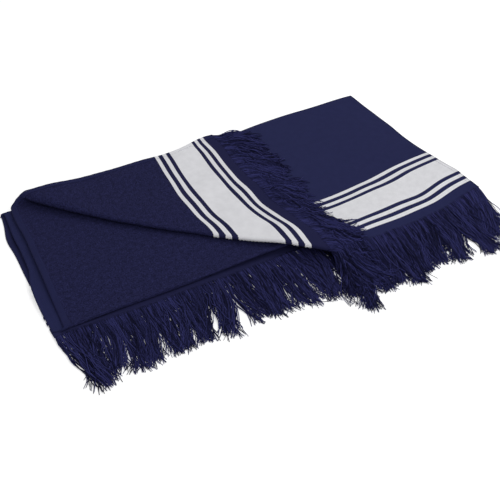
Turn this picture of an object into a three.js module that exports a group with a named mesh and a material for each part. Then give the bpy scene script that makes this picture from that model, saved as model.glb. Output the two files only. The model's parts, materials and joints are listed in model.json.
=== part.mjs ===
// A fringed bath towel, flat-woven on one face and looped (terry) on the other, folded crosswise
// into four layers with the front left corner of the top layer turned back over a diagonal fold.
// Millimetres, +Z up. X runs along the towel's width, Y runs from the fringed front to the back folds.
import * as THREE from 'three';

// ---- driving dimensions ----
const towelWidth = 900;        // across the weave, hem to hem
const foldedDepth = 415;       // back folds to front fold
const topOverhang = 63;        // how far the top layer's weave reaches past the front fold
const bottomOverhang = 18;     // how far the bottom layer's weave reaches past the front fold
const clothThickness = 3;      // weave with its loops
const clearance = 0.3;         // gap between pieces that meet
const fringeLength = 140;      // loose warp ends beyond the weave
const fringeTipRise = 0.5;     // the top fringe's tips stop this far above the ground
const narrowStripe = 9.3;      // thin white stripes beside the wide one
const navyLine = 9.2;          // navy between two white stripes
const wideStripe = 66;         // broad white stripe
const endStrip = 25;           // navy weave between the last stripe and the fringe
const hemWidth = 12;           // side edge turned over onto the looped face
const hemThickness = 1.2;
const threadWidth = 1;         // line of stitches along a hem
const threadThickness = 0.5;
const threadInset = 2;         // from the hem's inner edge to its stitches
const foldSlack = 0.4;         // air left between two facing hems
const stackLean = 40;          // the bottom of the stack lies this far left of the top layer
const sinkOfCornerFringe = 4;  // the corner's fringe droops onto the top layer
const fringeParting = 10;      // where the front edge folds over, the fringes on its two sides part

// ---- sizes that follow ----
const hemRise = 2 * clearance + hemThickness + threadThickness;
const foldGap = 2 * hemRise + foldSlack;
const pitch = clothThickness + foldGap;
const foldRadius = pitch / 2 + clothThickness / 2;
const halfWidth = towelWidth / 2;
const topDepth = foldedDepth + topOverhang;
const bottomDepth = foldedDepth + bottomOverhang;
const layerBase = (layer) => (layer - 1) * pitch;
const cornerBase = layerBase(5);
const topBase = layerBase(4);
const fringeReach = Math.sqrt(fringeLength ** 2 - (topBase - fringeTipRise) ** 2);
const diagonalGap = clearance * Math.SQRT2;

const finish = (red, green, blue, roughness) => new THREE.MeshStandardMaterial({
  color: new THREE.Color().setRGB(red / 255, green / 255, blue / 255, THREE.SRGBColorSpace),
  roughness,
  metalness: 0,
});
const flatWeave = finish(36, 39, 72, 0.9);
const terry = finish(32, 33, 63, 1);
const whiteWeave = finish(205, 205, 208, 0.9);
const yarn = finish(31, 32, 61, 0.95);
const thread = finish(44, 46, 82, 0.8);

const towel = new THREE.Group();

// the lower layers lie a little to the left of the ones above them
function leanStack(geometry) {
  const place = geometry.attributes.position;
  for (let i = 0; i < place.count; i += 1) {
    const below = Math.max(0, 1 - place.getZ(i) / topBase);
    place.setX(i, place.getX(i) - stackLean * below);
  }
  return geometry;
}

function addMesh(name, geometry, material) {
  const mesh = new THREE.Mesh(leanStack(geometry), material);
  mesh.name = name;
  towel.add(mesh);
}

// a flat piece of cloth with its outline in the XY plane
function addSlab(name, outline, base, thickness, material) {
  const shape = new THREE.Shape(outline.map(([x, y]) => new THREE.Vector2(x, y)));
  const geometry = new THREE.ExtrudeGeometry(shape, { depth: thickness, bevelEnabled: false });
  addMesh(name, geometry.translate(0, 0, base), material);
}

const rectangle = (left, right, front, back) => [[left, front], [right, front], [right, back], [left, back]];

// a closed section in the YZ plane, run along X
function alongX(shape, left, right) {
  const geometry = new THREE.ExtrudeGeometry(shape, {
    depth: right - left, bevelEnabled: false, curveSegments: 16,
  });
  const turn = new THREE.Matrix4().makeBasis(
    new THREE.Vector3(0, 1, 0), new THREE.Vector3(0, 0, 1), new THREE.Vector3(1, 0, 0),
  );
  return geometry.applyMatrix4(turn).translate(left, 0, 0);
}

// half of a round tube of cloth, opening towards the layers that it joins
function foldSection(facing) {
  const shape = new THREE.Shape();
  const start = -Math.PI / 2;
  const end = Math.PI / 2;
  shape.absarc(0, 0, foldRadius, start, end, false);
  shape.absarc(0, 0, foldRadius - clothThickness, end, start, true);
  shape.closePath();
  if (facing < 0) {
    return new THREE.Shape(shape.getPoints(16).map((p) => new THREE.Vector2(-p.x, p.y)).reverse());
  }
  return shape;
}

function addFold(name, y, lowerLayer, facing, material) {
  const middle = layerBase(lowerLayer) + clothThickness / 2 + pitch / 2;
  const geometry = alongX(foldSection(facing), -halfWidth, halfWidth);
  addMesh(name, geometry.translate(0, y, middle), material);
}

// ---- the coloured bands woven near each fringed end, from the body of the towel outwards ----
function bandOf(end) {
  const rows = [];
  let depth = end - endStrip - 4 * narrowStripe - 4 * navyLine - wideStripe;
  const weave = (name, width, material) => {
    rows.push({ name, from: depth, to: depth + width, material });
    depth += width;
  };
  for (const side of [1, 3]) {
    if (side === 3) weave('wide_white_band', wideStripe, whiteWeave);
    for (const number of [side, side + 1]) {
      if (side === 3) weave(`navy_line_${number}`, navyLine, flatWeave);
      weave(`white_stripe_${number}`, narrowStripe, whiteWeave);
      if (side === 1) weave(`navy_line_${number}`, navyLine, flatWeave);
    }
  }
  weave('end_strip', endStrip, flatWeave);
  return rows;
}

// the diagonal fold runs from the back left corner at 45 degrees
const diagonalX = (depth) => -halfWidth + depth;
const turnOver = ([x, y]) => [-halfWidth - y, -halfWidth - x];

function acrossTop(from, to) {
  const [back, front] = [from ? -from - clearance / 2 : 0, -to + clearance / 2];
  return [
    [diagonalX(-front) + diagonalGap, front], [halfWidth, front],
    [halfWidth, back], [diagonalX(-back) + diagonalGap, back],
  ];
}

function acrossCorner(from, to) {
  const [back, front] = [from ? -from - clearance / 2 : -diagonalGap, -to + clearance / 2];
  const outline = [[-halfWidth, front], [diagonalX(-front) - diagonalGap, front]];
  if (from) outline.push([diagonalX(-back) - diagonalGap, back]);
  outline.push([-halfWidth, back]);
  return outline.map(turnOver).reverse();
}

function acrossBottom(from, to) {
  const back = from ? -from - clearance / 2 : 0;
  return rectangle(-halfWidth, halfWidth, -to + clearance / 2, back);
}

function addBandedLayer(prefix, bodyName, depth, outlineOf, base, bodyMaterial) {
  const rows = bandOf(depth);
  addSlab(bodyName, outlineOf(0, rows[0].from), base, clothThickness, bodyMaterial);
  for (const row of rows) {
    addSlab(`${prefix}_${row.name}`, outlineOf(row.from, row.to), base, clothThickness, row.material);
  }
}

addBandedLayer('top', 'top_layer', topDepth, acrossTop, topBase, flatWeave);
addBandedLayer('corner', 'corner_flap', topDepth, acrossCorner, cornerBase, terry);
addBandedLayer('bottom', 'bottom_layer', bottomDepth, acrossBottom, layerBase(1), terry);

// ---- the two inner layers and the folds that join the four ----
const foldFront = -foldedDepth + foldRadius;
const innerLayer = rectangle(-halfWidth, halfWidth, foldFront + clearance, 0);
addSlab('second_layer', innerLayer, layerBase(2 + 1), clothThickness, terry);
addSlab('third_layer', innerLayer, layerBase(2), clothThickness, flatWeave);
addFold('upper_back_fold', clearance, 3, 1, flatWeave);
addFold('lower_back_fold', clearance, 1, 1, flatWeave);
addFold('front_fold', foldFront, 2, -1, terry);

// ---- the rounded diagonal fold of the turned corner ----
function addCornerRoll() {
  const length = topDepth * Math.SQRT2;
  const geometry = alongX(foldSection(-1), 0, length);
  geometry.rotateZ(-Math.PI / 4);
  addMesh('corner_roll', geometry.translate(-halfWidth, 0, topBase + clothThickness / 2 + pitch / 2), flatWeave);
}
addCornerRoll();

// ---- fringes ----
function fringeSection(root, tip) {
  return new THREE.Shape([
    new THREE.Vector2(root.along, root.base), new THREE.Vector2(tip.along, tip.base),
    new THREE.Vector2(tip.along, tip.base + clothThickness),
    new THREE.Vector2(root.along, root.base + clothThickness),
  ].reverse());
}

const topFringe = fringeSection(
  { along: -topDepth - clearance / 2, base: topBase }, { along: -topDepth - fringeReach, base: fringeTipRise },
);
addMesh('top_fringe', alongX(topFringe, diagonalX(topDepth) + diagonalGap, halfWidth), yarn);

const bottomFringe = fringeSection(
  { along: -bottomDepth - clearance / 2, base: 0 }, { along: -bottomDepth - fringeLength, base: 0 },
);
addMesh('bottom_fringe', alongX(bottomFringe, -halfWidth, halfWidth), yarn);

const cornerFringe = fringeSection(
  { along: -clearance / 2, base: cornerBase }, { along: -fringeLength, base: cornerBase - sinkOfCornerFringe },
);
const cornerFringeSolid = alongX(cornerFringe, fringeParting, topDepth).rotateZ(Math.PI / 2);
addMesh('corner_fringe', cornerFringeSolid.translate(diagonalX(topDepth), -topDepth, 0), yarn);

// ---- side hems, each with its line of stitches, on the looped face of every layer ----
function addHem(name, left, right, front, back, face, up) {
  const threadLeft = left < 0 ? right - threadInset - threadWidth : left + threadInset;
  const hemBase = up ? face + clearance : face - clearance - hemThickness;
  const threadBase = up ? hemBase + hemThickness + clearance : hemBase - clearance - threadThickness;
  const outline = rectangle(left, right, front, back);
  const stitches = rectangle(threadLeft, threadLeft + threadWidth, front, back);
  addSlab(name, outline, hemBase, hemThickness, flatWeave);
  addSlab(`${name}_thread`, stitches, threadBase, threadThickness, thread);
}

const sides = { left: [-halfWidth, -halfWidth + hemWidth], right: [halfWidth - hemWidth, halfWidth] };
const hemmedLayers = [
  { name: 'top_layer', layer: 4, front: -topDepth, up: false, on: ['right'] },
  { name: 'second_layer', layer: 3, front: foldFront, up: true, on: ['left', 'right'] },
  { name: 'third_layer', layer: 2, front: foldFront, up: false, on: ['left', 'right'] },
  { name: 'bottom_layer', layer: 1, front: -bottomDepth, up: true, on: ['left', 'right'] },
];
for (const { name, layer, front, up, on } of hemmedLayers) {
  const face = layerBase(layer) + (up ? clothThickness : 0);
  for (const side of on) addHem(`${name}_${side}_hem`, ...sides[side], front, 0, face, up);
}

// the corner's hem lies along the back, and starts where the flap is wide enough to carry it
function addCornerHem() {
  const start = -halfWidth + hemWidth + diagonalGap;
  const end = diagonalX(topDepth) - clearance / 2;
  const top = cornerBase + clothThickness + clearance;
  const threadTop = top + hemThickness + clearance;
  const threadBack = -hemWidth + threadInset + threadWidth;
  addSlab('corner_hem', rectangle(start, end, -hemWidth, 0), top, hemThickness, flatWeave);
  const stitches = rectangle(start, end, threadBack - threadWidth, threadBack);
  addSlab('corner_hem_thread', stitches, threadTop, threadThickness, thread);
}
addCornerHem();

// the origin is under the middle of the folded towel
const backmost = clearance + foldRadius;
const frontmost = -Math.max(topDepth + fringeReach, bottomDepth + fringeLength);
towel.position.set(stackLean / 2, -(backmost + frontmost) / 2, 0);

export default towel;
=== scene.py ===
"""A fringed hammam towel, folded in four with one corner of its top layer turned back.

The towel is one cloth: u runs across it from the left hem (metres), v along it from the top fringed
end. fold_cloth() takes (u, v) to its place in the folded stack, and the cloth, its hems, its
stitches and the roots of its fringes all come from that one mapping."""

import json
import math

import bpy
import numpy as np
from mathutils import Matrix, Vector


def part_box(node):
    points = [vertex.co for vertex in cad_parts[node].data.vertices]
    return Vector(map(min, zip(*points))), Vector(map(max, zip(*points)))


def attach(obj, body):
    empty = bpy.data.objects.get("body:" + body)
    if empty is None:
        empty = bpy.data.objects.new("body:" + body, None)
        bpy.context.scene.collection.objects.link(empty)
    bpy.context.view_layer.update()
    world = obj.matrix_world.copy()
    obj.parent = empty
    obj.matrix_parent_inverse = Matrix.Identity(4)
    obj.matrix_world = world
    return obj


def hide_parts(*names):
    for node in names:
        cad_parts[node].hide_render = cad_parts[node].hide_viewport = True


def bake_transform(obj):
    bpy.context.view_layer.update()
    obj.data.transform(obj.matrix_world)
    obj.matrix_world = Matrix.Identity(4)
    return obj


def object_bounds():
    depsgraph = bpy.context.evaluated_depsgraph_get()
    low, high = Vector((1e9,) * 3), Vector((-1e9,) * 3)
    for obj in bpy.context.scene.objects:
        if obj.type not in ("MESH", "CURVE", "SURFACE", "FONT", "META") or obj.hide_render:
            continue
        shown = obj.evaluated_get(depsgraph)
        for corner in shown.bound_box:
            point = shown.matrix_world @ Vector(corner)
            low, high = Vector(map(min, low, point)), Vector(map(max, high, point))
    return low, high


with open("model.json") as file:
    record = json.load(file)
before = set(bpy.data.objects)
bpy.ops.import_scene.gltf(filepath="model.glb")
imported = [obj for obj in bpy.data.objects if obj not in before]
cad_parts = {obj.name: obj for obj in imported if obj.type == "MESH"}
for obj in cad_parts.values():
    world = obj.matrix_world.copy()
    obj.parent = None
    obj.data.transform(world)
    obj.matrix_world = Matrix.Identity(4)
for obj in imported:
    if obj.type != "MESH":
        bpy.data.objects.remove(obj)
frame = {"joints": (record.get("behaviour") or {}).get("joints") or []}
cad_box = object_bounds()

# ---- sizes and places, from the frame ----
ROOT = "folded_towel"
hinge = next(j for j in frame["joints"] if j["name"] == "corner_turn")

LEFT, BACK = hinge["pos_m"][0], hinge["pos_m"][1]
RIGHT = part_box("top_end_strip")[1].x
WIDTH = RIGHT - LEFT
TOP_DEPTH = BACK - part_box("top_end_strip")[0].y
INNER_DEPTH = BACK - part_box("front_fold")[0].y
BOTTOM_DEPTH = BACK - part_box("bottom_end_strip")[0].y
LAYERS = [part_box(n) for n in ("bottom_layer", "third_layer", "second_layer", "top_layer")]
LAYER_Z = [(low.z + high.z) / 2 for low, high in LAYERS]
PITCH = LAYER_Z[1] - LAYER_Z[0]
FOLD_R = PITCH / 2
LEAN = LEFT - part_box("bottom_layer")[0].x
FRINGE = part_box("bottom_end_strip")[0].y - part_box("bottom_fringe")[0].y
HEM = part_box("corner_hem")[1].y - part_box("corner_hem")[0].y
CLOTH = 0.0024  # thickness of the weave with its loops pressed flat
HALF = CLOTH / 2
SEAM = 0.0022  # how far the stitched dimple lies from the hem's inner edge
EDGE_GAP = 0.0006  # how far a fringe's first and last yarns lie from the weave's corners
ROOTED = 0.004  # how far the yarns reach into the weave


def white_rows():
    """Where each woven white row starts and ends, in metres from the weave's end."""
    end = BACK - TOP_DEPTH
    names = ["white_stripe_4", "white_stripe_3", "wide_white_band", "white_stripe_2", "white_stripe_1"]
    boxes = [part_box("top_" + name) for name in names]
    return [(low.y - end, high.y - end) for low, high in boxes]


WHITE_ROWS = white_rows()
BAND_END = WHITE_ROWS[-1][1]

# lengths along v of the flat runs and the half rounds between them
INNER_RUN = INNER_DEPTH - FOLD_R - HALF
ARC = math.pi * FOLD_R
V_BACK = TOP_DEPTH
V_SECOND = V_BACK + ARC
V_FRONT = V_SECOND + INNER_RUN
V_THIRD = V_FRONT + ARC
V_LOWER = V_THIRD + INNER_RUN
V_BOTTOM = V_LOWER + ARC
LENGTH = V_BOTTOM + BOTTOM_DEPTH
FOLD_END = TOP_DEPTH  # where along the top end the diagonal fold crosses it


# ---- smooth helpers ----
def ease(t):
    """0 up to t = 0, 1 from t = 1, and smooth between them."""
    t = np.clip(t, 0.0, 1.0)
    return t * t * (3 - 2 * t)


def bump(t):
    """1 at t = 0, fading out smoothly on both sides."""
    return np.exp(-t * t)


def ramp(x, start, width):
    """0 up to start and 1 from start + width."""
    return ease((x - start) / width)


def hump(x, middle, width):
    """1 at middle, and nearly gone two widths away from it."""
    return bump((x - middle) / width)


def waves(x, y, size, seed, count=7):
    """Smooth unevenness between about -1 and 1, with ripples about size across."""
    rng = np.random.default_rng(seed)
    total = np.zeros(np.broadcast(x, y).shape)
    for _ in range(count):
        turn = rng.uniform(0, 2 * math.pi)
        pace = 2 * math.pi / (size * rng.uniform(0.7, 1.6))
        total += np.sin(pace * (x * math.cos(turn) + y * math.sin(turn)) + rng.uniform(0, 2 * math.pi))
    return total / math.sqrt(count * 1.6)


def ripples(x, size, seed):
    """waves() along one line."""
    return waves(x, x * 0, size, seed)


# ---- the folded stack ----
def stack(v):
    """Depth from the back fold, height and level (0 bottom to 3 top) along the accordion."""
    def around(start):
        return math.pi * np.clip((v - start) / ARC, 0, 1)

    first, front, lower = around(V_BACK), around(V_FRONT), around(V_LOWER)
    top, second = v < V_BACK, v < V_FRONT
    depth = np.select(
        [top, v < V_SECOND, second, v < V_THIRD, v < V_LOWER, v < V_BOTTOM],
        [
            V_BACK - v, -FOLD_R * np.sin(first), v - V_SECOND,
            INNER_RUN + FOLD_R * np.sin(front), V_LOWER - v, -FOLD_R * np.sin(lower),
        ],
        v - V_BOTTOM,
    )
    level = 3 - (1 - np.cos(first)) / 2 - (1 - np.cos(front)) / 2 - (1 - np.cos(lower)) / 2
    return depth, LAYER_Z[0] + PITCH * level, level


def skew(a, d):
    """The top layer isn't laid quite square: how far back it is shifted at (a, d). Beyond the turned
    corner's fringe its band slumps towards the front."""
    across = a / WIDTH
    # the shift of its back and front edges, and how the one goes over into the other
    back = -0.009 + 0.034 * ramp(across, 0.40, 0.46)
    front = 0.032 * ramp(across, 0.55, 0.5)
    share = ramp(d, 0, TOP_DEPTH)
    # the slump of the band's beginning, middle and end, where no flap lies on it
    free = ramp(a, 0.46, 0.14) * (1 - ease((a - 0.70 - 0.6 * (d - 0.33)) / 0.11))
    slump = -0.009 * free * ramp(d, 0.19, 0.12)
    slump = slump - 0.007 * hump(d, 0.31, 0.07) * ramp(a, 0.4, 0.2)
    slump = slump - 0.007 * hump(d, 0.385, 0.05) * ramp(a, 0.70, 0.1)
    return back * (1 - share) + front * share + slump


def relief(a, d, level):
    """Height of the soft unevenness of the layers, which grows up the stack: they settle in the
    middle, are pressed together towards the front, most of all on the left, and keep a crest along
    the front fold. The lowest layer's end is propped up a little."""
    puff = 0.0013 * (waves(a, d, 0.30, 11) + 1) * level / 3
    ripple = 0.0006 * waves(a, d, 0.09, 12) * level / 3
    settle = -0.0025 * ramp(d, 0, 0.10) * ease((INNER_DEPTH - d) / 0.10) * level / 3
    weight = 0.0050 + 0.0055 * (1 - ramp(a, 0.28, 0.14))
    pressed = -weight * ramp(d, 0.29, 0.11) * np.where(level < 2, level / 2, 1 - 0.85 * (level - 2))
    crest = 0.0012 * bump((d - INNER_DEPTH + 0.005) / 0.006) * hump(level, 2, 0.5)
    propped = 0.0035 * ease((d - INNER_DEPTH - 0.001) / 0.014) * ease(0.6 - level)
    return puff + ripple + settle + pressed + crest + propped


def top_shape(a, d):
    """Height that the top layer gains or loses by itself: it rises before the front fold at its right
    end, sags there elsewhere, falls beyond the fold and waves along its front."""
    corner = ramp(a, 0.76, 0.10)
    rise = 0.001 * corner * hump(d, 0.375, 0.055) - 0.004 * (1 - corner) * hump(d, 0.33, 0.09)
    fall = -0.013 * ease((d - INNER_DEPTH + 0.012) / (TOP_DEPTH - INNER_DEPTH + 0.012))
    fall = fall * (0.25 + 0.75 * ramp(a, 0.52, 0.2))
    wave = 0.003 * np.sin((a - 0.50) * 2 * math.pi / 0.34) * ramp(d, 0.30, 0.15)
    return rise + fall + wave * ramp(a, 0.45, 0.15)


def side_shift(a, d, level):
    """How far to the right of the straight fold the layers lie: each lower one further left, with
    the lowest two bulging out near the back and the front."""
    below = 1 - (level / 3) ** 1.6
    low = ease(1.6 - level)
    bulge = 0.008 * hump(d, 0.09, 0.05) + 0.006 * hump(d, 0.36, 0.07)
    second = -0.75 * LEAN * below - 0.004 * below * ramp(d, 0.3, 0.15)
    tucked = (0.015 * ease(0.6 - level) - 0.009 * low) * ramp(d, 0.22, 0.06)
    return low * (-LEAN * below - bulge) + (1 - low) * second + tucked


# ---- the turned corner ----
def roll_radius(t):
    """Radius of the diagonal fold at distance t along it: largest near the back."""
    return 0.0034 + 0.0060 * hump(t, 0.035, 0.12)


def turn_corner(a, d, share):
    """Turns the top layer's front left corner back over the diagonal. t runs along the diagonal and
    q across it. share fades the turn out round the upper back fold. Returns the new (a, d), the
    lift, how far round the roll the point is, and how much it belongs to the flap beyond it."""
    t = (a + d) / math.sqrt(2)
    q = (d - a) / math.sqrt(2)
    radius = roll_radius(t)
    half_arc = math.pi * radius / 2
    turned = np.clip((q + half_arc) / (2 * half_arc), 0, 1)
    angle = math.pi * turned
    past = np.maximum(q - half_arc, 0)
    across = np.where(q < -half_arc, q, -half_arc + radius * np.sin(angle) - past)
    along = np.clip(t / (TOP_DEPTH * math.sqrt(2)), 0, 1)
    bow = 0.015 * np.sin(math.pi * along ** 0.8) - 0.010 * ramp(along, 0.45, 0.25)
    bow = bow * hump(across, 0, 0.09)
    rest = 0.0062  # height of the corner over the top layer once it lies flat
    lift = radius * (1 - np.cos(angle))
    lift = np.where(past > 0, rest + (2 * radius - rest) * hump(past, 0, 0.060), lift)
    across = q + (across + bow - q) * share
    slide = 0.010 * turned * hump(past, 0, 0.045) * ramp(t, 0, 0.3) * share
    flap = turned * ramp(past, 0, 0.05)
    new_a, new_d = (t + slide - across) / math.sqrt(2), (t + slide + across) / math.sqrt(2)
    return new_a, new_d, lift * share, turned * share, flap * share


def flap_drift(d):
    """The flap isn't quite square to the stack: how far right its points are shifted, by depth."""
    return 0.009 * hump(d, 0, 0.08) - 0.004 + 0.020 * ramp(d, 0.24, 0.26)


def fold_cloth(u, v):
    """Place of the cloth's middle surface at (u, v), and how far it follows the turned corner. a is
    the distance from the left side and d the depth from the back, once the corner is turned."""
    u, v = np.broadcast_arrays(np.asarray(u, float), np.asarray(v, float))
    d, z, level = stack(v)
    fade = 1 - ramp(v, V_BACK, ARC)
    a, new_d, lift, turned, flap = turn_corner(u, d, fade)
    a = np.where(fade > 0, a, u)
    d = np.where(fade > 0, new_d, d)
    on_top = ease(level - 2)
    # across: the flap drifts, the layers lean to the left, and every edge wavers
    x = LEFT + a + flap_drift(d) * flap * ramp(a, 0, 0.2) + side_shift(a, d, level)
    x = x + 0.0016 * waves(d, level * 0.3, 0.16, 21) + 0.003 * (1 - on_top) * waves(d, level, 0.4, 22)
    # the top layer's right edge flares at the front end and is nipped in behind it
    right_edge = ramp(a, 0.6, 0.3) * on_top
    nipped = 0.005 * hump(d, 0.39, 0.05) + 0.010 * hump(d, 0.26, 0.07)
    x = x + right_edge * (0.008 * ramp(d, 0.42, 0.05) - nipped)
    # in depth: the lower layers are folded a little shallower, and the top one lies askew
    y = BACK - d * (0.976 + 0.024 * on_top) + skew(a, d) * (0.25 + 0.75 * on_top)
    y = y + 0.0012 * waves(a, level * 0.3, 0.22, 23)
    # the back folds come forward at their left end, and the bottom layer's front end goes back there
    y = y - 0.022 * hump(a, 0, 0.09) * (1 - ramp(d, 0, 0.30)) * (1 - 0.75 * on_top)
    y = y + (0.001 + 0.012 * (1 - ramp(a, 0, 0.20))) * ease(0.6 - level) * ramp(d, 0.3, 0.1)
    # the top's back left corner is drawn in
    back_corner = bump((a + np.maximum(d, 0)) / 0.045) * on_top
    x = x + 0.006 * back_corner
    # the flap swells near its front, and its hem is lifted and laid back at its outer back corner
    puff = flap * hump(a, 0.395, 0.075) * hump(d, 0.345, 0.06)
    x = x + 0.005 * puff
    lifted_hem = flap * hump(a, 0.458, 0.055) * ease((0.045 - d) / 0.045)
    x = x - 0.008 * lifted_hem
    y = y + 0.013 * lifted_hem
    swell = 0.0016 * (waves(u, v, 0.12, 24) + 0.6) * flap + 0.006 * puff + 0.006 * lifted_hem
    z = z + relief(a, d, level) + top_shape(a, d) * on_top + lift + swell
    return np.stack([x, y, z], axis=-1), turned


def cloth_frame(u, v, step=0.0006):
    """Place, unit vectors along u and v, the flat face's normal, and the share of the corner's turn."""
    place, turned = fold_cloth(u, v)
    along_u = fold_cloth(u + step, v)[0] - fold_cloth(u - step, v)[0]
    along_v = fold_cloth(u, v + step)[0] - fold_cloth(u, v - step)[0]
    along_u /= np.linalg.norm(along_u, axis=-1, keepdims=True)
    along_v /= np.linalg.norm(along_v, axis=-1, keepdims=True)
    normal = np.cross(along_u, along_v)
    normal /= np.linalg.norm(normal, axis=-1, keepdims=True)
    return place, along_u, along_v, normal, turned


# ---- mesh building ----
def move_points(piece, points):
    piece.data.vertices.foreach_set("co", np.asarray(points, np.float32).ravel())
    piece.data.update()


def bend_with_corner(piece, points, turned):
    if turned.max() <= 0:
        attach(piece, ROOT)
        return
    share = np.clip(turned.ravel(), 0, 1)
    up_line = np.zeros((len(share), 3))
    up_line[:, 2] = 0.5 - np.sin(np.arcsin(1 - 2 * share) / 3)  # undoes the blend's smooth ends
    move_points(piece, up_line)
    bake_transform(piece)
    move_points(piece, points)


def make_mesh(name, points, faces, turned, uv=None, values=None, face_slots=None):
    """A mesh piece. faces is an array of corners, one row for each face, or a list of such arrays.
    turned is each point's share of the corner's turn."""
    groups = faces if isinstance(faces, list) else [faces]
    mesh = bpy.data.meshes.new(name)
    corners = np.concatenate([g.ravel() for g in groups])
    sizes = np.concatenate([np.full(len(g), g.shape[1]) for g in groups])
    starts = np.concatenate([[0], np.cumsum(sizes)[:-1]])
    mesh.vertices.add(len(points))
    mesh.vertices.foreach_set("co", np.asarray(points, np.float32).ravel())
    mesh.loops.add(len(corners))
    mesh.loops.foreach_set("vertex_index", corners.astype(np.int32))
    mesh.polygons.add(len(sizes))
    mesh.polygons.foreach_set("loop_start", starts.astype(np.int32))
    mesh.polygons.foreach_set("use_smooth", np.ones(len(sizes), bool))
    if face_slots is not None:
        mesh.polygons.foreach_set("material_index", face_slots.astype(np.int32))
    mesh.update(calc_edges=True)
    if uv is not None:
        layer = mesh.uv_layers.new(name="cloth")
        layer.data.foreach_set("uv", np.asarray(uv, np.float32)[corners].ravel())
    for key, data in (values or {}).items():
        mesh.attributes.new(key, "FLOAT", "POINT").data.foreach_set("value", np.asarray(data, np.float32))
    mesh.validate()
    piece = bpy.data.objects.new(name, mesh)
    bpy.context.scene.collection.objects.link(piece)
    bend_with_corner(piece, points, turned)
    return piece


def grid_faces(rows, columns, first=0):
    index = np.arange(rows * columns).reshape(rows, columns) + first
    return np.stack([index[:-1, :-1], index[1:, :-1], index[1:, 1:], index[:-1, 1:]], -1).reshape(-1, 4)


def tubes(paths, radii, sides=3, turn=0.0):
    """Closed thin tubes along paths (n, k, 3), with radii (n, k), each turned about its path by turn.
    Returns points and faces."""
    count, steps = paths.shape[:2]
    tangent = np.gradient(paths, axis=1)
    tangent /= np.linalg.norm(tangent, axis=-1, keepdims=True) + 1e-12
    off_vertical = np.array([0.13, 0.21, 0.97])  # no yarn runs along this direction
    side = np.cross(tangent, off_vertical)
    side /= np.linalg.norm(side, axis=-1, keepdims=True) + 1e-12
    other = np.cross(tangent, side)
    around = 2 * math.pi * np.arange(sides) / sides
    around = around[None, None, :] + (turn if np.isscalar(turn) else turn[:, None, None])
    ring = side[:, :, None] * np.cos(around)[..., None] + other[:, :, None] * np.sin(around)[..., None]
    points = paths[:, :, None] + radii[:, :, None, None] * ring
    index = np.arange(count * steps * sides).reshape(count, steps, sides)
    after = np.roll(index, -1, axis=2)
    walls = np.stack([index[:, :-1], after[:, :-1], after[:, 1:], index[:, 1:]], -1).reshape(-1, 4)
    first_caps = index[:, 0, ::-1].reshape(-1, sides)
    last_caps = index[:, -1].reshape(-1, sides)
    return points.reshape(-1, 3), [walls, first_caps, last_caps]


# ---- the cloth ----
def rows_along(start, end, step):
    return np.linspace(start, end, max(2, round((end - start) / step) + 1))[:-1]


def cloth_rows():
    """Rows close together where the cloth shows or turns, and further apart inside the stack."""
    end_strip = 0.06
    runs = [  # (start, end, distance between rows)
        (0, V_BACK, 0.0042), (V_BACK, V_SECOND, 0.0014), (V_SECOND, V_FRONT, 0.0058),
        (V_FRONT, V_THIRD, 0.0014), (V_THIRD, V_LOWER, 0.021), (V_LOWER, V_BOTTOM, 0.0018),
        (V_BOTTOM, LENGTH - end_strip, 0.021), (LENGTH - end_strip, LENGTH, 0.006),
    ]
    return np.concatenate([rows_along(*run) for run in runs] + [[LENGTH]])


def build_cloth(columns=168):
    """The cloth, with its flat face and its looped face as two skins closed along the edges."""
    u = np.linspace(0, WIDTH, columns)
    v = cloth_rows()
    grid_u, grid_v = np.meshgrid(u, v)
    place, _, _, normal, turned = cloth_frame(grid_u, grid_v)
    skins = [place + HALF * normal, place - HALF * normal]
    points = np.concatenate([skin.reshape(-1, 3) for skin in skins])
    count = grid_u.size
    flat_faces = grid_faces(len(v), len(u))[:, ::-1]
    terry_faces = grid_faces(len(v), len(u), count)
    index = np.arange(count).reshape(len(v), len(u))
    edge = np.concatenate([index[0, :-1], index[:-1, -1], index[-1, :0:-1], index[:0:-1, 0]])
    after = np.roll(edge, -1)
    rim = np.stack([edge, edge + count, after + count, after], -1)[:, ::-1]
    uv = np.tile(np.stack([grid_u.ravel(), grid_v.ravel()], -1), (2, 1))
    slots = np.repeat([0, 1, 0], [len(flat_faces), len(terry_faces), len(rim)])
    faces = np.concatenate([flat_faces, terry_faces, rim])
    return make_mesh("woven_cloth", points, faces, np.tile(turned.ravel(), 2), uv=uv, face_slots=slots)


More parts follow.
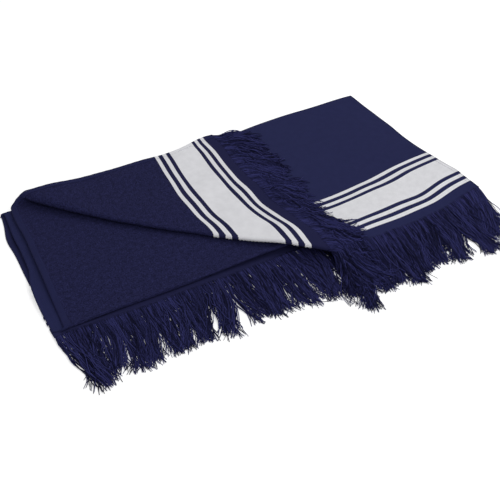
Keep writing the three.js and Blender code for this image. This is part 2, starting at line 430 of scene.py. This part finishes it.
def build_hem(side):
    """The cloth's edge turned over onto the looped face, as a flat band with a stitched dimple."""
    section = np.array([  # (distance in from the cloth's edge, height off its middle surface)
        (HEM, HALF - 0.0002), (HEM, HALF + 0.0006), (HEM - 0.0008, HALF + 0.0010),
        (HEM - SEAM, HALF + 0.0006), (HEM - 0.0036, HALF + 0.0011), (0.0026, HALF + 0.0013),
        (0.0003, HALF + 0.0009), (-0.0011, 0.0), (-0.0005, -HALF), (0.0008, -HALF + 0.0005),
    ])
    v = np.concatenate([rows_along(0, V_BACK, 0.004), rows_along(V_BACK, LENGTH, 0.0022), [LENGTH]])
    inward = section[:, 0] if side == "left" else WIDTH - section[:, 0]
    grid_u, grid_v = np.meshgrid(inward, v)
    place, _, _, normal, turned = cloth_frame(grid_u, grid_v)
    puff = 1 + 0.10 * ripples(grid_v, 0.018, 31 if side == "left" else 32)
    points = place - normal * (section[:, 1] * np.where(section[:, 1] > HALF, puff, 1))[..., None]
    count = len(section)
    walls = grid_faces(len(v), count)
    index = np.arange(len(v) * count).reshape(len(v), count)
    closing = np.stack([index[:-1, -1], index[1:, -1], index[1:, 0], index[:-1, 0]], -1)
    faces = np.concatenate([walls, closing])
    caps = [index[0][None, :], index[-1][None, ::-1]]
    if side == "left":
        faces, caps = faces[:, ::-1], [c[:, ::-1] for c in caps]
    uv = np.stack([grid_u.ravel(), grid_v.ravel()], -1)
    return make_mesh(f"{side}_hem", points.reshape(-1, 3), [faces, *caps], turned, uv=uv)


def build_stitches(side):
    """Lockstitches along the hem's inner edge, on both faces."""
    stitch, gap, radius, rise, sunk = 0.0027, 0.0011, 0.00024, 0.00022, 0.00012
    first, last = 0.003, LENGTH - 0.006
    starts = np.arange(first, last, stitch + gap)
    swelling = np.array([0.45, 0.95, 1.0, 0.95, 0.45])
    steps = np.linspace(0, 1, len(swelling))
    from_edge = HEM - SEAM
    paths, turns = [], []
    for face, height in ((-1, HALF + 0.0006), (1, HALF + 0.0001)):
        v = starts[:, None] + stitch * steps[None, :] + (0 if face < 0 else (stitch + gap) / 2)
        u = np.full_like(v, from_edge if side == "left" else WIDTH - from_edge)
        place, _, _, normal, turned = cloth_frame(u, v)
        arch = rise * np.sin(math.pi * steps)
        paths.append(place + face * normal * (height + arch - sunk)[None, :, None])
        turns.append(turned)
    paths = np.concatenate(paths)
    radii = radius * np.tile(swelling, (len(paths), 1))
    sides = 5
    points, faces = tubes(paths, radii, sides)
    turned = np.repeat(np.concatenate(turns).ravel(), sides)
    return make_mesh(f"{side}_hem_stitches", points, faces, turned)


# ---- what the fringes lie on ----
class Ground:
    """Highest surface over a grid of the plan, which reaches a margin beyond the CAD box."""

    cell = 0.0025
    margin = 0.1

    def __init__(self):
        low, high = cad_box
        self.low = np.array([low.x, low.y]) - self.margin
        reach = np.array([high.x, high.y]) + self.margin - self.low
        self.height = np.zeros(np.ceil(reach / self.cell).astype(int) + 1)

    def cells(self, points):
        spot = np.rint((points[..., :2] - self.low) / self.cell).astype(int)
        return tuple(np.clip(spot[..., i], 0, self.height.shape[i] - 1) for i in (0, 1))

    def add(self, points, extra=0.0):
        flat = points.reshape(-1, 3)
        np.maximum.at(self.height, self.cells(flat), flat[:, 2] + extra)

    def at(self, points):
        return self.height[self.cells(points)]


def cloth_ground(columns=420, rows=840):
    """The ground that the folded cloth makes."""
    ground = Ground()
    u, v = np.meshgrid(np.linspace(0, WIDTH, columns), np.linspace(0, LENGTH, rows))
    ground.add(fold_cloth(u, v)[0], HALF)
    return ground


# ---- fringes ----
def pick_locks(rng, first, last, spacing):
    """Middles of the locks that yarns gather into, unevenly spaced from first to last."""
    middles = [first + rng.uniform(0, spacing)]
    while middles[-1] < last:
        middles.append(middles[-1] + spacing * rng.uniform(0.55, 1.6))
    return np.array(middles)


def nearest(values, middles):
    return np.abs(values[:, None] - middles[None, :]).argmin(axis=1)


def build_fringe(name, end, span, count, seed, ground, swing_at, length_at, **habit):
    """Loose warp yarns beyond the weave's end: rooted in it, lying on whatever is under them, some of
    them drawn into small twigs and all of them into ragged locks towards the tips. swing_at(u) is
    how far they swing from straight out (radians), length_at(u) their length against the whole
    fringe. The habits are: curl, how much they bend and wobble; steps, the points of a yarn; ragged,
    how uneven the locks are; closing, how far yarns that leave the lock come back to it; bend_at and
    rise_at, a bend and a height along u; lock, the distance between locks; tied, the share of yarns
    that follow their twig; and tone, how light they are."""
    curl, steps = habit.get("curl", 1.0), habit.get("steps", 11)
    ragged, closing = habit.get("ragged", 1.0), habit.get("closing", 1.9)
    bend_at, rise_at = habit.get("bend_at", np.zeros_like), habit.get("rise_at", np.zeros_like)
    rng = np.random.default_rng(seed)
    outward = -1 if end == 0 else 1
    u = np.sort(rng.uniform(span[0], span[1], count))
    twig_spacing = 0.0055
    twigs = pick_locks(rng, *span, twig_spacing)
    locks = pick_locks(rng, *span, habit.get("lock", 0.027))
    twig, lock = nearest(u, twigs), nearest(u, locks)

    def own(low, high):
        return rng.uniform(low, high, count)

    def by_lock(low, high):
        return rng.uniform(low, high, len(locks))[lock]

    def by_twig(low, high):
        return rng.uniform(low, high, len(twigs))[twig]

    stray_share, short_share, wild_share = 0.02, 0.12, 0.15
    stray = rng.random(count) < stray_share
    tied = np.where(rng.random(count) < habit.get("tied", 0.18), 1.0, 0.15)
    free = 1 - tied
    length = FRINGE * length_at(u) * (1 + ragged * by_lock(-0.12, 0.035))
    length = length * by_twig(0.95, 1.05) * own(0.90, 1.03)
    length = np.where(rng.random(count) < short_share, length * own(0.5, 0.9), length)
    swing = swing_at(u) + tied * by_twig(-0.12, 0.12) + np.where(stray, own(-0.3, 0.3), 0)
    leaving = (0.05 + 0.07 * free) * own(-1, 1)
    lock_swing = by_lock(-0.22, 0.22)
    wild = (rng.random(len(locks)) < wild_share)[lock]
    lock_swing = lock_swing + np.where(wild, by_lock(-0.4, 0.4), 0)
    lock_swing = lock_swing * ease(np.minimum(u - span[0], span[1] - u) / 0.04)
    arc = curl * (by_lock(-0.08, 0.08) + tied * by_twig(-0.25, 0.25) + (0.05 + 0.09 * free) * own(-1, 1))
    wobble = curl * (own(0.04, 0.22) + tied * by_twig(0, 0.2))
    wavelength, phase = own(0.040, 0.080), tied * by_twig(0, 6.3) + free * own(0, 6.3)
    hook = curl * own(-0.7, 0.7)
    high, rise = own(0, 1), rise_at(u)
    strength = by_lock(0.45 + 0.10 * (ragged - 1), 0.95) * own(0.75, 1.05)
    pile = by_lock(0.0, 0.0012) + by_twig(0.0, 0.0012) + own(0.0, 0.0034) + np.where(stray, 0.002, 0)
    small_gather = np.where(stray, 0.0, own(0.2, 0.6)) * tied * (u - twigs[twig])
    large_gather = np.where(stray, 0.3, strength) * (u - locks[lock])

    inside = cloth_frame(u, np.full(count, end - outward * ROOTED))[0]
    edge, along_u, along_v, normal, turned = cloth_frame(u, np.full(count, float(end)))
    out = along_v * outward
    heading = np.arctan2(out[:, 1], out[:, 0])
    depth = normal * own(-0.6, 0.6)[:, None] * HALF

    # the first two points hold the root, and from there the yarns grow outwards a step at a time
    paths = np.empty((count, steps, 3))
    paths[:, 0] = inside + depth
    paths[:, 1] = edge + depth
    run = length / (steps - 2)
    resting, stiff, droop = 0.0006, 0.02, 0.07
    plan = edge[:, :2].copy()
    for k in range(2, steps):
        s = run * (k - 1)
        share = (k - 1) / (steps - 2)
        # the course in plan: swing and bends, then the way back into the lock, then the tip's hook
        turn = swing * ramp(s, 0, 0.05) + arc * math.sin(share * math.pi * 1.2) + bend_at(u) * share
        turn = turn + leaving * (ramp(s, 0, 0.05) - closing * ramp(share, 0.4, 0.4))
        turn = turn + wobble * np.sin(2 * math.pi * s / wavelength + phase) * ramp(s, 0, 0.03)
        turn = turn + lock_swing * ramp(share, 0.35, 0.4) + hook * ramp(share, 0.75, 0.25)
        course = heading + turn
        plan = plan + run[:, None] * np.stack([np.cos(course), np.sin(course)], -1)
        # drawn sideways into twigs at once and into locks further out
        drawn = small_gather * ramp(share, 0, 0.4) + large_gather * ramp(share, 0.35, 0.5)
        paths[:, k, :2] = plan - along_u[:, :2] * drawn[:, None]
        # the height: falling from the weave's end until the yarn meets what it lies on
        loft = pile * math.sin(math.pi * min(1.0, 0.12 + share * 0.8))
        loft = loft + rise * high * math.sin(math.pi * min(1.0, share * 1.15))
        lowest = ground.at(paths[:, k]) + resting + loft * ramp(s, 0, stiff)
        falling = paths[:, 1, 2] + out[:, 2] * np.minimum(s, stiff) - s * s / droop
        paths[:, k, 2] = np.maximum(lowest, falling)
    smoothings = 2
    for _ in range(smoothings):
        paths[:, 2:-1, 2] = (paths[:, 1:-2, 2] + 2 * paths[:, 2:-1, 2] + paths[:, 3:, 2]) / 4
    ground.add(paths, 0.0004)
    towards_tip = np.linspace(0, 1, steps)
    radii = own(0.0008, 0.0012)[:, None] * (1 - 0.35 * towards_tip[None, :] ** 6)
    points, faces = tubes(paths, radii, turn=own(0, 2))
    tone = habit.get("tone", 0.45) + 0.24 * rng.standard_normal(count) + by_twig(-0.12, 0.12)
    tone = np.repeat(np.clip(tone, 0, 1), steps * 3)
    share = yarn_turn(paths, turned, run)
    return make_mesh(name, points, faces, np.repeat(share.ravel(), 3), values={"tone": tone})


def yarn_turn(paths, turned, run):
    """Each yarn point's share of the corner's turn: the root keeps the cloth's own share, the free
    length goes wholly with the side it is rooted on, and what hangs past the diagonal stays put."""
    settling, fading = 0.015, 0.012
    out_along = run[:, None] * np.maximum(np.arange(paths.shape[1]) - 1, 0)
    free_length = ramp(out_along, 0, settling)
    side = (turned > 0.5)[:, None]
    share = turned[:, None] * (1 - free_length) + side * free_length
    past_diagonal = ((BACK - paths[..., 1]) - (paths[..., 0] - LEFT)) / math.sqrt(2)
    return share * (1 - free_length * ease(past_diagonal / fading + 1))


def lower_fringe(ground):
    """The fringe of the cloth's lower end, which comes out under the front fold."""
    def swing(u):
        return -0.16 + 0.14 * ripples(u, 0.2, 51) + 0.36 * hump(u, 0, 0.05)

    def length(u):
        at_left = 0.13 * hump(u, 0, 0.05)
        return 0.99 + 0.07 * ripples(u, 0.12, 52) + at_left + 0.10 * ramp(u, 0.36, 0.1)

    span = (EDGE_GAP, WIDTH - EDGE_GAP)
    return build_fringe("lower_fringe", LENGTH, span, 3220, 41, ground, swing, length, ragged=1.4)


def front_fringe(ground):
    """The fringe of the top layer, to the right of the diagonal fold."""
    def swing(u):
        return -0.26 + 0.10 * ripples(u, 0.12, 53) - 0.25 * bump((WIDTH - u) / 0.07)

    def length(u):
        return 1.06 + 0.05 * ripples(u, 0.10, 54) + 0.03 * hump(u, FOLD_END, 0.15)

    return build_fringe(
        "front_fringe", 0.0, (FOLD_END, WIDTH - EDGE_GAP), 2100, 42, ground, swing, length,
        ragged=2.0, lock=0.030,
    )


def corner_fringe(ground):
    """The turned corner's fringe lies over on the top layer and swings round towards the front. At
    the back it stands up in a loop."""
    from_back = np.array([0, 0.025, 0.05, 0.08, 0.20, 0.34, 0.43, 0.48])
    turning = np.array([1.00, 0.40, -0.60, -0.95, -1.00, -0.98, -1.15, -1.55])

    def swing(u):
        return np.interp(u, from_back, turning) + 0.10 * ripples(u, 0.09, 55)

    def length(u):
        extra = 0.12 * ramp(u, 0.40, 0.06) - 0.10 * hump(u, 0.29, 0.12) - 0.20 * hump(u, 0, 0.04)
        return 0.92 + 0.07 * ripples(u, 0.10, 56) + extra

    def bend(u):
        return -1.9 * hump(u, 0, 0.05)

    def rise(u):
        return 0.009 * hump(u, 0, 0.045)

    return build_fringe(
        "corner_fringe_yarns", 0.0, (EDGE_GAP, FOLD_END), 1900, 43, ground, swing, length,
        curl=2.0, steps=17, closing=0, tied=0.4, bend_at=bend, rise_at=rise, tone=0.5,
    )


# ---- materials ----
class Shader:
    """A node material with one Principled shader and short calls for the nodes that feed it."""

    def __init__(self, name, roughness):
        self.material = bpy.data.materials.new(name)
        self.material.use_nodes = True
        self.tree = self.material.node_tree
        self.main = self.tree.nodes["Principled BSDF"]
        self.main.inputs["Roughness"].default_value = roughness
        self.main.inputs["Specular IOR Level"].default_value = 0.06

    def node(self, kind, inputs=(), **settings):
        made = self.tree.nodes.new(kind)
        for key, value in settings.items():
            setattr(made, key, value)
        for socket, value in dict(inputs).items():
            if isinstance(value, bpy.types.NodeSocket):
                self.tree.links.new(value, made.inputs[socket])
            else:
                made.inputs[socket].default_value = value
        return made

    def math(self, operation, first, second=0.0):
        return self.node("ShaderNodeMath", {0: first, 1: second}, operation=operation).outputs[0]

    def mix(self, share, first, second):
        made = self.node("ShaderNodeMix", data_type="RGBA")
        for socket, value in (("Factor", share), ("A", first), ("B", second)):
            spot = next(s for s in made.inputs if s.name == socket and s.enabled)
            if isinstance(value, bpy.types.NodeSocket):
                self.tree.links.new(value, spot)
            else:
                spot.default_value = value
        return next(s for s in made.outputs if s.enabled)

    def noise(self, vector, scale, detail=2.0, roughness=0.5):
        inputs = {"Vector": vector, "Scale": scale, "Detail": detail, "Roughness": roughness}
        return self.node("ShaderNodeTexNoise", inputs).outputs["Fac"]

    def relief(self, height, depth, strength=1.0):
        bumped = self.node("ShaderNodeBump", {"Height": height, "Distance": depth, "Strength": strength})
        self.tree.links.new(bumped.outputs[0], self.main.inputs["Normal"])

    def colour(self, socket):
        self.tree.links.new(socket, self.main.inputs["Base Color"])


def linear(*levels):
    """A colour of red, green and blue levels from 0 to 255 as the shaders take it."""
    return (*(((level / 255 + 0.055) / 1.055) ** 2.4 for level in levels), 1.0)


NAVY_FLAT = linear(37, 40, 76)
NAVY_TERRY = linear(33, 34, 67)
NAVY_HEM = linear(34, 36, 70)
NAVY_YARN = linear(31, 32, 66)
NAVY_THREAD = linear(46, 48, 88)
WHITE = linear(222, 222, 226)


def striped(shader, coordinates, navy, white):
    """Navy cloth with the woven white rows near both ends. Also returns where the band is."""
    along = shader.node("ShaderNodeSeparateXYZ", {0: coordinates}).outputs[1]
    from_end = shader.math("MINIMUM", along, shader.math("SUBTRACT", LENGTH, along))
    reach = 1.1 * BAND_END
    rows = shader.node("ShaderNodeValToRGB", {0: shader.math("DIVIDE", from_end, reach)})
    rows.color_ramp.interpolation = "CONSTANT"
    stops = rows.color_ramp.elements
    stops[0].position, stops[0].color = 0.0, (0, 0, 0, 1)
    stops[1].position, stops[1].color = 1.0, (0, 0, 0, 1)
    for low, high in WHITE_ROWS:
        stops.new(low / reach).color = (1, 1, 1, 1)
        stops.new(high / reach).color = (0, 0, 0, 1)
    in_band = shader.math("LESS_THAN", from_end, BAND_END)
    return shader.mix(rows.outputs[0], navy, white), in_band


def mottled(shader, base, noise, low=0.9, high=1.1):
    """base, darker and lighter as noise says."""
    spread = shader.node("ShaderNodeMapRange", {0: noise, 1: 0.3, 2: 0.7, 3: low, 4: high}).outputs[0]
    colour = base if isinstance(base, bpy.types.NodeSocket) else base[:3]
    made = shader.node("ShaderNodeVectorMath", {0: colour}, operation="SCALE")
    shader.tree.links.new(spread, made.inputs["Scale"])
    return made.outputs[0]


def weave_height(shader, coordinates, yarn=0.0011):
    """Plain weave: yarns over and under each other, from the cloth's own coordinates."""
    split = shader.node("ShaderNodeSeparateXYZ", {0: coordinates})
    pace = math.pi / yarn
    across = shader.math("SINE", shader.math("MULTIPLY", split.outputs[0], pace))
    along = shader.math("SINE", shader.math("MULTIPLY", split.outputs[1], pace))
    return shader.math("MULTIPLY", across, along)


def cloth_material(name, navy, terry):
    """The woven face, or with terry the looped one, on which the band is woven flat."""
    shader = Shader(name, 0.95)
    coordinates = shader.node("ShaderNodeUVMap", uv_map="cloth").outputs[0]
    colour, in_band = striped(shader, coordinates, navy, WHITE)
    weave = weave_height(shader, coordinates)
    uneven = shader.noise(coordinates, 60.0, 3.0)
    if not terry:
        fine = shader.noise(coordinates, 520.0, 1.0)
        colour = mottled(shader, mottled(shader, colour, uneven, 0.955, 1.045), fine, 0.96, 1.04)
        height = shader.math("ADD", shader.math("MULTIPLY", weave, 0.5), uneven)
        shader.relief(height, 0.00035, 0.6)
    else:
        loops = shader.noise(coordinates, 380.0, 3.0, 0.65)
        tufts = shader.noise(coordinates, 110.0, 3.0, 0.6)
        pile = shader.math("ADD", loops, shader.math("MULTIPLY", tufts, 0.8))
        # the looped face is painted darker where its loops and tufts lie low and lighter on their tops:
        # painted shade in the hollows of the pile, from the same noise as its height
        pile_with_painted_shade = mottled(shader, mottled(shader, navy, loops, 0.34, 1.62), tufts, 0.74, 1.26)
        colour = shader.mix(in_band, pile_with_painted_shade, mottled(shader, colour, uneven, 0.96, 1.04))
        flat = shader.math("MULTIPLY", weave, 0.15)
        mixed = shader.node("ShaderNodeMix", {0: in_band, 2: pile, 3: flat}, data_type="FLOAT")
        height = mixed.outputs[0]
        shader.relief(height, 0.0013, 0.7)
    shader.colour(colour)
    return shader.material


def yarn_material(name, navy):
    """Cotton yarn, each one darker or lighter by its own tone."""
    shader = Shader(name, 0.9)
    tone = shader.node("ShaderNodeAttribute", attribute_name="tone").outputs["Fac"]
    place = shader.node("ShaderNodeTexCoord").outputs["Object"]
    toned = mottled(shader, navy, tone, 0.55, 2.5)
    shader.colour(mottled(shader, toned, shader.noise(place, 600.0), 0.92, 1.08))
    shader.relief(shader.noise(place, 1500.0), 0.0003, 0.5)
    return shader.material


def thread_material():
    """Sewing thread, smoother and a little lighter than the cloth."""
    shader = Shader("hem_thread", 0.6)
    place = shader.node("ShaderNodeTexCoord").outputs["Object"]
    shader.colour(mottled(shader, NAVY_THREAD, shader.noise(place, 2500.0), 0.85, 1.15))
    return shader.material


# ---- stage ----
def build_stage():
    """A pale floor under even white light."""
    bpy.ops.mesh.primitive_plane_add(size=30)
    floor = bpy.context.object
    floor.name = "floor"
    shader = Shader("pale_floor", 0.9)
    shader.main.inputs["Base Color"].default_value = (0.92, 0.92, 0.92, 1)
    shader.main.inputs["Emission Color"].default_value = (1, 1, 1, 1)
    shader.main.inputs["Emission Strength"].default_value = 0.34
    floor.data.materials.append(shader.material)
    world = bpy.data.worlds.new("studio")
    world.use_nodes = True
    background = world.node_tree.nodes["Background"]
    background.inputs["Color"].default_value = (1, 1, 1, 1)
    background.inputs["Strength"].default_value = 0.55
    bpy.context.scene.world = world
    bpy.context.scene.view_settings.view_transform = "Standard"


def add_light(name, spot, size, power, target=(0, 0, 0)):
    """A round soft light at spot, pointing at target."""
    data = bpy.data.lights.new(name, "AREA")
    data.shape, data.size, data.energy = "DISK", size, power
    lamp = bpy.data.objects.new(name, data)
    lamp.location = spot
    lamp.rotation_euler = (Vector(target) - Vector(spot)).to_track_quat("-Z", "Y").to_euler()
    bpy.context.scene.collection.objects.link(lamp)


def build_camera():
    """A camera in front and to the left of the towel, looking down on it."""
    data = bpy.data.cameras.new("camera")
    data.sensor_width, data.lens = 36.0, 46.7
    camera = bpy.data.objects.new("camera", data)
    camera.location = (-0.542, -0.928, 0.838)
    azimuth, elevation = math.radians(-29.2), math.radians(40.3)
    camera.rotation_euler = (math.pi / 2 - elevation, 0, azimuth)
    bpy.context.scene.collection.objects.link(camera)
    bpy.context.scene.camera = camera


# ---- the towel, put together ----
def band_nodes(prefix):
    rows = range(1, 5)
    stripes = [f"{prefix}_white_stripe_{k}" for k in rows]
    lines = [f"{prefix}_navy_line_{k}" for k in rows]
    return stripes + lines + [f"{prefix}_wide_white_band", f"{prefix}_end_strip"]


def hem_nodes(side, ending=""):
    layers = ["second_layer", "third_layer", "bottom_layer"]
    names = [f"{layer}_{side}_hem" for layer in layers]
    names.append("corner_hem" if side == "left" else "top_layer_right_hem")
    return [name + ending for name in names]


def build_towel():
    cloth = build_cloth()
    cloth.data.materials.append(cloth_material("flat_weave", NAVY_FLAT, terry=False))
    cloth.data.materials.append(cloth_material("terry_pile", NAVY_TERRY, terry=True))
    layers = ["top_layer", "second_layer", "third_layer", "bottom_layer", "corner_flap"]
    folds = ["upper_back_fold", "front_fold", "lower_back_fold", "corner_roll"]
    bands = band_nodes("top") + band_nodes("corner") + band_nodes("bottom")
    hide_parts(*layers, *folds, *bands)

    going_with = []
    hem_finish = cloth_material("hem_weave", NAVY_HEM, terry=False)
    stitch_finish = thread_material()
    for side in ("left", "right"):
        hem = build_hem(side)
        hem.data.materials.append(hem_finish)
        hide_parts(*hem_nodes(side))
        stitches = build_stitches(side)
        stitches.data.materials.append(stitch_finish)
        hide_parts(*hem_nodes(side, "_thread"))
        going_with += [hem, stitches]

    yarn = yarn_material("fringe_yarn", NAVY_YARN)
    ground = Ground()
    fringes = [(lower_fringe(ground), "bottom_fringe")]
    np.maximum(ground.height, cloth_ground().height, out=ground.height)
    fringes += [(front_fringe(ground), "top_fringe"), (corner_fringe(ground), "corner_fringe")]
    for fringe, node in fringes:
        fringe.data.materials.append(yarn)
        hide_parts(node)
        going_with.append(fringe)


build_camera()
build_stage()
add_light("key", (1.6, 0.9, 2.6), size=2.4, power=28)
add_light("fill", (0.3, -2.7, 1.9), size=2.2, power=30)
build_towel()
